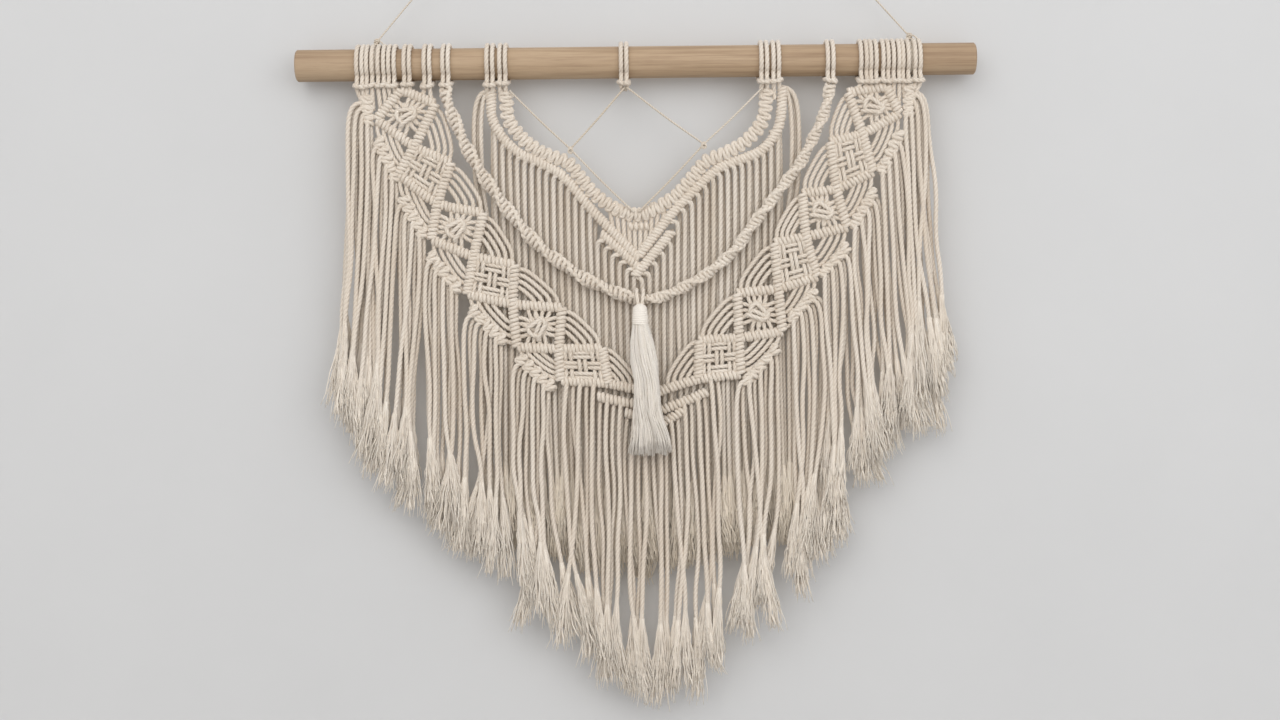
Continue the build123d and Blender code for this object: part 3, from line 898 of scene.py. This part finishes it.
def strandRoute(x, top, y, start, bow):
    # the way one strand hangs: sideways out of its knot, over a shoulder, down and slightly outwards
    far = x * (1 + fringe["lean"] * (abs(x) / fringe["topReach"]) ** 2)
    hem = heightOn(hemLine, far) + rng.uniform(-2, 10)
    end = hem + brush["length"]
    out = math.copysign(bow, x)
    gather = toClump(far, rng.uniform(0.1, 0.75)) - far
    sway = rng.normal(0, 1.2, 4) + rng.choice([-1, 1]) * np.array([0.3, 1.3, 2.2, 1.0])
    sway += gather * np.array([0.02, 0.12, 0.5, 0.85])
    depth = np.clip(rng.normal(0, 0.3, 4), -0.8, 0.15 if y > layer["front"] else 0.8)
    cross = rng.normal(0, 2.2) + (rng.random() < 0.16) * rng.choice([-10, 10])
    if abs(x) > fringe["edgeFrom"]:
        cross, gather = -math.copysign(abs(cross) * 1.3 + 1, x), 0.6 * gather
    if bow:
        shoulder = start[1] - 9 - 0.25 * bow
        points = [(start[0], y + 0.9, start[1]),
                  (start[0] + (x + out - start[0]) * 0.55, y - 0.3, start[1] + 1.0),
                  (x + out * 0.95, y, shoulder)]
    else:
        shoulder = top - 3
        points = [(start[0], y + 1.5, start[1]), (x + (start[0] - x) * 0.3, y, shoulder)]
    for t, dx, dy in zip((0.2, 0.43, 0.68, 0.88), sway, depth):
        across = x + out * (1 - t * t) + (far - x) * t**1.6 + dx + cross * t**1.5
        points.append((across, y + dy, shoulder + (end - shoulder) * t))
    points.append((far + gather + cross, y, end))
    return points


strandPlan = []  # body, level, route
for side, band in bands.items():
    for level, members in (("upper", (0, 1)), ("middle", (2, 3)), ("lower", (4, 5))):
        for k in members:
            (x0, z0), (x1, z1) = sorted(band["scallops"][k])
            low = min(z0, z1)
            edges = sorted(band["strandEdges"][k])
            pitch = (edges[1] - edges[0]) / fringe["perLayer"]
            for shift, depth in fringe["shifts"]:
                for i in range(fringe["perLayer"]):
                    x = edges[0] + pitch * (i + shift)
                    if depth == "deep" and abs(x) < fringe["deepFrom"]:
                        continue
                    t = (i + shift) / fringe["perLayer"]
                    start = (x0 + (x1 - x0) * t, z0 + (z1 - z0) * t - 2)
                    top = min(low - fringe["stubClear"], start[1] - 4)
                    outer = (edges[1] - x if x > 0 else x - edges[0]) / (edges[1] - edges[0])
                    bow = fringe["bows"][side][k] * (1 - outer) + 2.5 * outer
                    route = strandRoute(x, top, layer[depth], start, bow)
                    strandPlan.append((f"{side}_{level}_fringe", level, route))
pitch = (fringe["centreEdges"][1] - fringe["centreEdges"][0]) / fringe["centreCount"]
for shift, depth in fringe["shifts"][:2]:
    for i in range(fringe["centreCount"]):
        x = fringe["centreEdges"][0] + pitch * (i + shift)
        top = heightOn(centreRows, x) - 7
        start = (x - math.copysign(2.2, x), top + 8)
        strandPlan.append(("centre_fringe", "centre", strandRoute(x, top, layer[depth], start, 0)))

strandPlan.sort(key=lambda plan: plan[2][-1][2] - plan[2][0][2])  # the longest first
declaredCount = 40
shared = {}


def blendAtHinge(piece):
    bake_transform(piece)


for number, (body, level, route) in enumerate(strandPlan):
    line = splineLine(route)
    warmth = 0.15 * np.clip(1 - (arcLength(line)[-1] - arcLength(line)) / 30, 0, 1)
    radii = taperEnd(line)
    if number < declaredCount:
        strand, end = Yarn(), Yarn()
        strand.addCord(line, radii, warmth=warmth)
        frayedEnd(end, line)
        name = f"strand{number + 1}"
        piece = strand.make(name, fringeCotton, "fringe_cotton")
        blendAtHinge(piece)
        endPiece = end.make(name + "End", fringeCotton, "fringe_cotton", body)
    else:
        strands, ends = shared.setdefault(body, (Yarn(), Yarn(), level))[:2]
        strands.addCord(line, radii, warmth=warmth)
        frayedEnd(ends, line)

for body, (strands, ends, level) in shared.items():
    piece = strands.make(pieceName(body), fringeCotton, "fringe_cotton")
    blendAtHinge(piece)
    ends.make(pieceName(body) + "Ends", fringeCotton, "fringe_cotton", body)
print("outer fringe", len(strandPlan))

firstOf = {}
for number, plan in enumerate(strandPlan[:declaredCount]):
    firstOf.setdefault(plan[0], bpy.data.objects[f"strand{number + 1}"])
for body in sorted({plan[0] for plan in strandPlan}):
    piece = bpy.data.objects.get(pieceName(body)) or firstOf[body]
    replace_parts(piece, body)
    if body.startswith(("left_upper", "right_upper")):
        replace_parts(piece, body.split("_")[0] + "_strand_tops")
    if body == "centre_fringe":
        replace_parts(piece, "centre_strand_tops")

innerTops = [
    (-140, -27), (-132, -30), (-127, -46), (-119, -65), (-104, -80), (-83, -90), (-64, -102), (-40, -129),
    (-36, -152), (-5, -183), (5, -188), (32, -150), (36, -132), (66, -100), (80, -92), (107, -82),
    (120, -67), (128, -50), (132, -32), (140, -27),
]
innerFringe = {"count": 44, "edge": 140, "rowGap": 4.2, "hemMiddle": 458, "hemRise": 0.22}
innerHalves = {-1: (Yarn(), Yarn()), 1: (Yarn(), Yarn())}
for i in range(2 * innerFringe["count"] - 1):
    front = i % 2 == 0
    x = -innerFringe["edge"] + innerFringe["edge"] * (i + 1) / innerFringe["count"]
    sign = math.copysign(1, x)
    top = heightOn(innerTops, x)
    end = -innerFringe["hemMiddle"] + innerFringe["hemRise"] * abs(x) + brush["length"] + rng.uniform(0, 8)
    sway = rng.normal(0, 1.1, 3)
    y = layer["inner"] + (0 if front else innerFringe["rowGap"])
    if abs(x) > 129:
        start = [(sign * 127, y - 4.5, -25), ((x + sign * 127) / 2 + sign * 3, y - 3, -25),
                 (x + sign * 5, y - 1.5, -36), (x + sign * 7, y, -62), (x + sign * 6, y, -105)]
    elif front:
        slope = min(abs(heightOn(innerTops, x + 1) - heightOn(innerTops, x - 1)) / 2, 1.2)
        start = [(x - sign * 6.5, y - 3.0, top + 0.5 - 5.5 * slope),
                 (x - sign * 4.2, y - 5.0, top - 2.6 - 2.5 * slope),
                 (x + sign * 0.4, y - 4.6, top - 4.2 - 1.5 * slope), (x + sign * 0.5, y - 1.2, top - 18)]
    else:
        start = [(x - sign * 1.5, y - 1, top + 2), (x, y, top - 14)]
    route = [*start, (x + sway[0] * 0.4, y, top + (end - top) * 0.35),
             (x + sway[1], y, top + (end - top) * 0.65), (x + sway[2], y, end)]
    line = splineLine(route)
    # more warmth near the ends and in the frayed ends than on the outer fringe: painted warm shade from light
    # bouncing in the cotton
    warmth = 0.3 * np.clip(1 - (arcLength(line)[-1] - arcLength(line)) / 40, 0, 1)
    strands, ends = innerHalves[sign]
    strands.addCord(line, taperEnd(line), warmth=warmth)
    frayedEnd(ends, line, 0.3)
for sign, label in ((-1, "left"), (1, "right")):
    strands, ends = innerHalves[sign]
    piece = strands.make(f"{label}InnerFringe", innerWarmShadeCotton, "fringe_cotton", "inner_panel")
    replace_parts(piece, "inner_fringe")
    ends.make(f"{label}InnerFringeEnds", innerWarmShadeCotton, "fringe_cotton", "inner_panel")
print("inner fringe")


# The tassel on the swag's lowest point

tassel = {"x": 1.5, "head": -220.5, "headRadius": 6.4, "wrapTop": -219.0, "wrapBottom": -233.5, "turns": 8,
          "hem": -348.0, "halfDepth": 8.5, "locks": 46, "fibres": 18, "turn": -1.0}
tasselOutline = [  # height, then the left and right edge of the skirt there
    (-233, -4.0, 7.0), (-238, -4.8, 9.2), (-248, -6.2, 12.4), (-264, -6.6, 15.6), (-280, -3.6, 16.4),
    (-297, -3.4, 16.8), (-308, -4.2, 18.4), (-319, -4.6, 21.4), (-330, -5.8, 24.2), (-343, -9.0, 26.0),
    (-352, -9.4, 26.4),
]


def tasselEdges(z):
    height, left, right = np.array(tasselOutline).T
    return np.interp(-z, -height, left), np.interp(-z, -height, right)


def tasselLocks(yarn):
    # soft locks of combed fibres that fall from the wrap, turn a little and widen to the hem
    t = np.linspace(0, 1, 14)
    n, each = tassel["locks"], tassel["fibres"]
    own = np.repeat(np.arange(n), each)
    count = n * each
    angle = rng.uniform(0, 2 * math.pi, n)[own] + rng.normal(0, 0.22, count)
    ring = np.clip(np.sqrt(rng.uniform(0.1, 1, n))[own] + rng.normal(0, 0.1, count), 0, 1.04)
    hem = tassel["hem"] + np.abs(rng.normal(0, 5, n))[own] + np.abs(rng.normal(0, 2.2, count))
    top = tassel["wrapBottom"] + 3
    z = top + (hem[:, None] - top) * t[None]
    left, right = tasselEdges(z)
    around = angle[:, None] + tassel["turn"] * t[None]
    sway = rng.uniform(0, 6.28, n)[own][:, None]
    crimp = rng.uniform(0, 6.28, (count, 1))
    opened = np.sqrt(t)[None]
    x = (left + right) / 2 + (right - left) / 2 * ring[:, None] * np.cos(around)
    x = x + opened * (0.9 * np.sin(z * 0.13 + sway) + 0.3 * np.sin(z * 0.75 + crimp))
    y = layer["tassel"] - tassel["halfDepth"] * (0.62 + 0.38 * opened) * ring[:, None] * np.sin(around)
    y = np.clip(y + opened * 0.4 * np.sin(z * 0.2 + sway * 2), layer["tassel"] - 9.4, layer["tassel"] + 8.8)
    radii = 0.72 * (1 - 0.6 * t[None] ** 3) * rng.uniform(0.75, 1.2, (count, 1))
    tone = np.clip(rng.uniform(0, 0.7, n)[own] + rng.normal(0, 0.12, count), 0, 1)
    yarn.add(np.stack([x, y, z], axis=2), radii, 3, 0, 10, 0, tone, 0.0)
    depth = np.linspace(top, tassel["hem"] + 10, 12)
    left, right = tasselEdges(depth)
    for part in (-0.4, 0, 0.4):
        across = (left + right) / 2 + (right - left) / 2 * part
        line = np.stack([across, np.full(12, layer["tassel"]), depth], axis=1)
        radii = np.interp(np.linspace(0, 1, 12), (0, 0.3, 0.9, 1), (3.6, 5.6, 6.0, 2.5))
        yarn.add(line, radii, 10, tone=0.45)


def tasselHeadLocks(yarn, count=70):
    # the fold of the fibres over the loop, gathered in by the wrap
    r = tassel["headRadius"] - 0.9
    angle = np.linspace(0, 2 * math.pi, count, endpoint=False) + rng.normal(0, 0.03, count)
    t = np.linspace(0, 1, 9)
    lean = np.interp(t, (0, 0.35, 0.7, 1), (0.1, 0.94, 1.0, 0.72))
    heights = (r * 0.98, r * 0.82, r * 0.45, -r * 0.35, -r * 1.25)
    z = np.interp(t, (0, 0.2, 0.35, 0.7, 1), heights) + tassel["head"]
    x = tassel["x"] + r * lean[None] * np.cos(angle)[:, None]
    y = layer["tassel"] + r * lean[None] * np.sin(angle)[:, None]
    lines = np.stack([x, y, np.broadcast_to(z, x.shape)], axis=2)
    yarn.add(lines, 0.85, 5, 0, 10, 0, rng.uniform(0, 0.7, count), 0.0)


def onTassel(*heights):
    return [(tassel["x"], layer["tassel"], z) for z in heights]


head = Yarn()
tasselHeadLocks(head)
core = smooth(onTassel(tassel["head"] + 5, tassel["head"], tassel["wrapTop"] - 2), 1.5)
head.add(core, np.interp(np.linspace(0, 1, len(core)), (0, 0.15, 0.4, 1), (2.0, 4.4, 5.6, 5.6)), 14, tone=0.5)
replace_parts(head.make("tasselHead", tasselCotton, "tassel_cotton", "tassel_head"), "tassel_head")
wrap = Yarn()
turns = tassel["turns"]
angles = np.linspace(0, 2 * math.pi * turns, 24 * turns)
fall = np.linspace(tassel["wrapTop"] - 1, tassel["wrapBottom"] + 1, len(angles))
reach = np.interp(fall, (tassel["wrapBottom"], tassel["wrapBottom"] + 4, tassel["wrapTop"]), (5.6, 6.3, 5.2))
coilX, coilY = tassel["x"] + reach * np.cos(angles), layer["tassel"] + reach * np.sin(angles)
coil = np.stack([coilX, coilY, fall], axis=1)
wrap.add(coil, 1.0, 8, 0, 9.0, 0, 0.1)
core = smooth(onTassel(tassel["wrapTop"], tassel["wrapTop"] - 5, tassel["wrapBottom"] + 1), 2)
wrap.add(core, 5.2, 14, tone=0.5)
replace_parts(wrap.make("tasselWrap", tasselCotton, "cotton_cord", "tassel_head"), "tassel_wrap")
skirt = Yarn()
tasselLocks(skirt)
skirtPiece = skirt.make("tasselSkirt", tasselCotton, "tassel_cotton")
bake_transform(skirtPiece)
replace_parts(skirtPiece, "tassel_skirt")
loopRoute = [  # out from the middle, depth, height: over the swag and down into the head
    (1.6, layer["swag"] + 6.8, -207), (2.4, layer["swag"] + 3, -203.4), (2.8, layer["swag"] - 3, -202.4),
    (2.8, layer["swag"] - 7.6, -206.4), (2.3, layer["swag"] - 9.2, -210.5),
    (1.6, layer["tassel"] + 0.8, -215), (0.9, layer["tassel"], -219),
]
loop = Yarn()
for sign in (-1, 1):
    loop.addCord(smooth([(tassel["x"] + sign * out, y, z) for out, y, z in loopRoute], 1.2), 1.7, 0.2)
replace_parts(loop.make("tasselLoop", cordCotton, "cotton_cord", "swag"), "tassel_loop")
print("tassel")


# The twine up to the nail

hanger = {"leftTie": -228.8, "rightTie": 242.4, "tieTop": 20.6, "nailHalfWidth": 2.5, "radius": 0.9}
nailTop = -axisHeight + hanger["radius"]
legs = [
    *[(hanger["leftTie"] * w, 0, hanger["tieTop"] * w + nailTop * (1 - w)) for w in (1, 0.66, 0.33)],
    (-6, 0, nailTop - 6.6), (-hanger["nailHalfWidth"], 0, nailTop),
    (hanger["nailHalfWidth"], 0, nailTop), (6, 0, nailTop - 6.2),
    *[(hanger["rightTie"] * w, 0, hanger["tieTop"] * w + nailTop * (1 - w)) for w in (0.33, 0.66, 1)],
]
twineYarn = Yarn()
twineYarn.addTwine(splineLine(legs, 0.9), hanger["radius"], 0.3)
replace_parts(twineYarn.make("hangerTwine", twineFibre, "twine", "hanger"), "hanger_twine")
for side, x in (("left", hanger["leftTie"]), ("right", hanger["rightTie"])):
    ties = Yarn()
    around = dowelRadius + 1.1
    for shift in (-0.7, 0.9):
        ring = [(x + shift + 0.5 * math.sin(a), around * math.cos(a), around * math.sin(a))
                for a in np.linspace(0, 2 * math.pi, 40)]
        ties.addTwine(even(np.array(ring), 0.9))
    for i, (w, h) in enumerate(((2.3, 0.0), (2.0, 1.2), (2.2, 2.4), (1.7, 3.4))):
        knot = [(x + w * math.cos(a), 1.3 * math.sin(a), hanger["tieTop"] - 2.0 + h + 0.7 * math.sin(a + i))
                for a in np.linspace(0, 6.5, 14)]
        ties.addTwine(smooth(knot, 0.7))
    ties.addTwine(smooth([(x, 0, 15.0), (x, 0, 18.0), (x, 0, hanger["tieTop"] + 2)], 0.8), 1.2)
    tail = [(x, -1, hanger["tieTop"] - 1), (x + 3, -3, hanger["tieTop"]), (x + 6, -5, hanger["tieTop"] - 3),
            (x + 7.5, -7, hanger["tieTop"] - 6)]
    ties.addTwine(smooth(tail, 0.8), 0.75)
    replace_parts(ties.make(f"{side}TwineTie", twineFibre, "twine", "hanger"), f"{side}_twine_tie")
print("hanger")


# The wall, the floor and the lights

sky = {"colour": (0.93, 0.955, 1.0, 1), "strength": 0.88}
stage = {"wallBehind": 0.022, "floorBelow": 1.05, "reach": 3, "wallTop": 2.2,
         "wall": (0.60, 0.592, 0.58, 1), "floor": (0.58, 0.57, 0.56, 1)}


def addSheet(name, corners, colour, seeThroughBack):
    mesh = bpy.data.meshes.new(name)
    mesh.from_pydata(corners, [], [(0, 1, 2, 3)])
    sheetObject = bpy.data.objects.new(name, mesh)
    bpy.context.scene.collection.objects.link(sheetObject)
    material = bpy.data.materials.new(name)
    material.use_nodes = True
    tree = material.node_tree
    shader = tree.nodes["Principled BSDF"]
    setSockets(shader, Roughness=0.9)
    shader.inputs["Specular IOR Level"].default_value = 0.1
    mottled = spread(tree, addNoise(tree, 5, 4), 0.3, 0.7)
    darker = tuple(c * 0.975 for c in colour[:3]) + (1,)
    tree.links.new(addMix(tree, mottled, colour, darker), shader.inputs["Base Color"])
    if seeThroughBack:
        geometry = tree.nodes.new("ShaderNodeNewGeometry")
        clear = tree.nodes.new("ShaderNodeBsdfTransparent")
        mix = tree.nodes.new("ShaderNodeMixShader")
        lightPath = tree.nodes.new("ShaderNodeLightPath")
        seeThrough = addMath(tree, "MAXIMUM", geometry.outputs["Backfacing"],
                             lightPath.outputs["Is Shadow Ray"])
        tree.links.new(seeThrough, mix.inputs[0])
        tree.links.new(shader.outputs[0], mix.inputs[1])
        tree.links.new(clear.outputs[0], mix.inputs[2])
        tree.links.new(mix.outputs[0], tree.nodes["Material Output"].inputs["Surface"])
    mesh.materials.append(material)


low, wallY, reach, high = -stage["floorBelow"], stage["wallBehind"], stage["reach"], stage["wallTop"]
wallCorners = [(-reach, wallY, low), (reach, wallY, low), (reach, wallY, high), (-reach, wallY, high)]
floorCorners = [(-reach, -reach, low), (reach, -reach, low), (reach, reach, low), (-reach, reach, low)]
addSheet("wall", wallCorners, stage["wall"], True)
addSheet("floor", floorCorners, stage["floor"], False)

lights = {
    "keyLight": {"place": (-0.7, -2.5, 0.8), "size": 2.4, "power": 28, "colour": (1.0, 0.985, 0.96)},
    "fillLight": {"place": (1.5, -2.3, 0.1), "size": 2.0, "power": 17, "colour": (0.97, 0.985, 1.0)},
    "backLight": {"place": (0.5, 2.4, 0.5), "size": 2.2, "power": 30, "colour": (1.0, 0.99, 0.97)},
}
for name, light in lights.items():
    lamp = bpy.data.lights.new(name, "AREA")
    lamp.size = light["size"]
    lamp.energy = light["power"]
    lamp.color = light["colour"]
    holder = bpy.data.objects.new(name, lamp)
    bpy.context.scene.collection.objects.link(holder)
    holder.location = light["place"]
    aim = Vector((0, 0, -0.5)) - Vector(light["place"])
    holder.rotation_euler = aim.to_track_quat("-Z", "Y").to_euler()
world = bpy.data.worlds.new("world")
bpy.context.scene.world = world
world.use_nodes = True
world.node_tree.nodes["Background"].inputs["Color"].default_value = sky["colour"]
world.node_tree.nodes["Background"].inputs["Strength"].default_value = sky["strength"]
bpy.context.scene.view_settings.view_transform = "Standard"
print("stage and lights")
